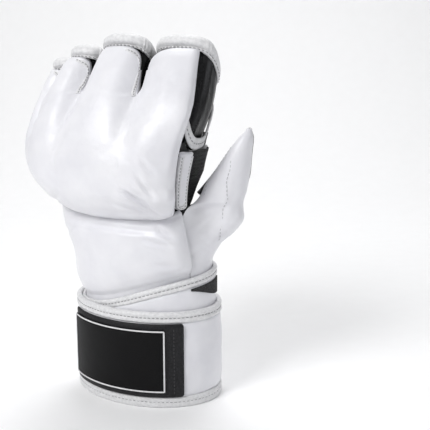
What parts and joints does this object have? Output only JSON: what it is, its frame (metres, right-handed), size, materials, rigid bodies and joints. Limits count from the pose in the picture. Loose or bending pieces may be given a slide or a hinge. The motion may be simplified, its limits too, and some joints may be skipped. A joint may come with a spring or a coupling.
{
  "type": "padded grappling glove",
  "caption": "Left-hand padded grappling glove with open fingertips, an enclosed thumb, an open palm and a wide wrist strap.",
  "frame": {"origin": "centre of the glove's box on the surface it stands on, below the wrist", "axes": "+Z from the cuff to the fingertips, -Y out of the back of the hand, +X to the thumb side"},
  "size_m": [0.1802, 0.1016, 0.2695],
  "materials": {
    "white_leather": "smooth satin synthetic leather",
    "white_binding": "folded and stitched binding tape",
    "black_leather": "glossy creased synthetic leather",
    "black_cloth": "matt knitted mesh"
  },
  "bodies": {
    "root": {"wrist_strap": "white_leather", "strap_top_binding": "white_binding", "strap_bottom_binding": "white_binding", "wrist_wrap": "white_leather", "wrap_binding": "white_binding", "loop_patch": "black_cloth", "closure_tab": "black_leather", "label_panel": "black_leather", "label_frame": "white_binding", "cuff_pad": "white_leather", "knuckle_pad": "white_leather", "finger_stall_index": "black_leather", "finger_stall_middle": "black_leather", "finger_stall_ring": "black_leather", "finger_stall_little": "black_leather", "rim_binding_index": "white_binding", "rim_binding_middle": "white_binding", "rim_binding_ring": "white_binding", "rim_binding_little": "white_binding", "side_band_index": "white_binding", "side_band_little": "white_binding", "finger_hem": "white_binding", "grip_binding": "white_binding", "grip_strip": "black_cloth", "back_lining": "black_cloth", "web_gusset": "black_cloth", "web_binding": "white_binding", "palm_flap": "white_leather", "flap_binding": "white_binding", "thumb_panel": "white_leather", "thumb_binding": "white_binding", "thumb_lining": "black_cloth"}
  },
  "joints": []
}
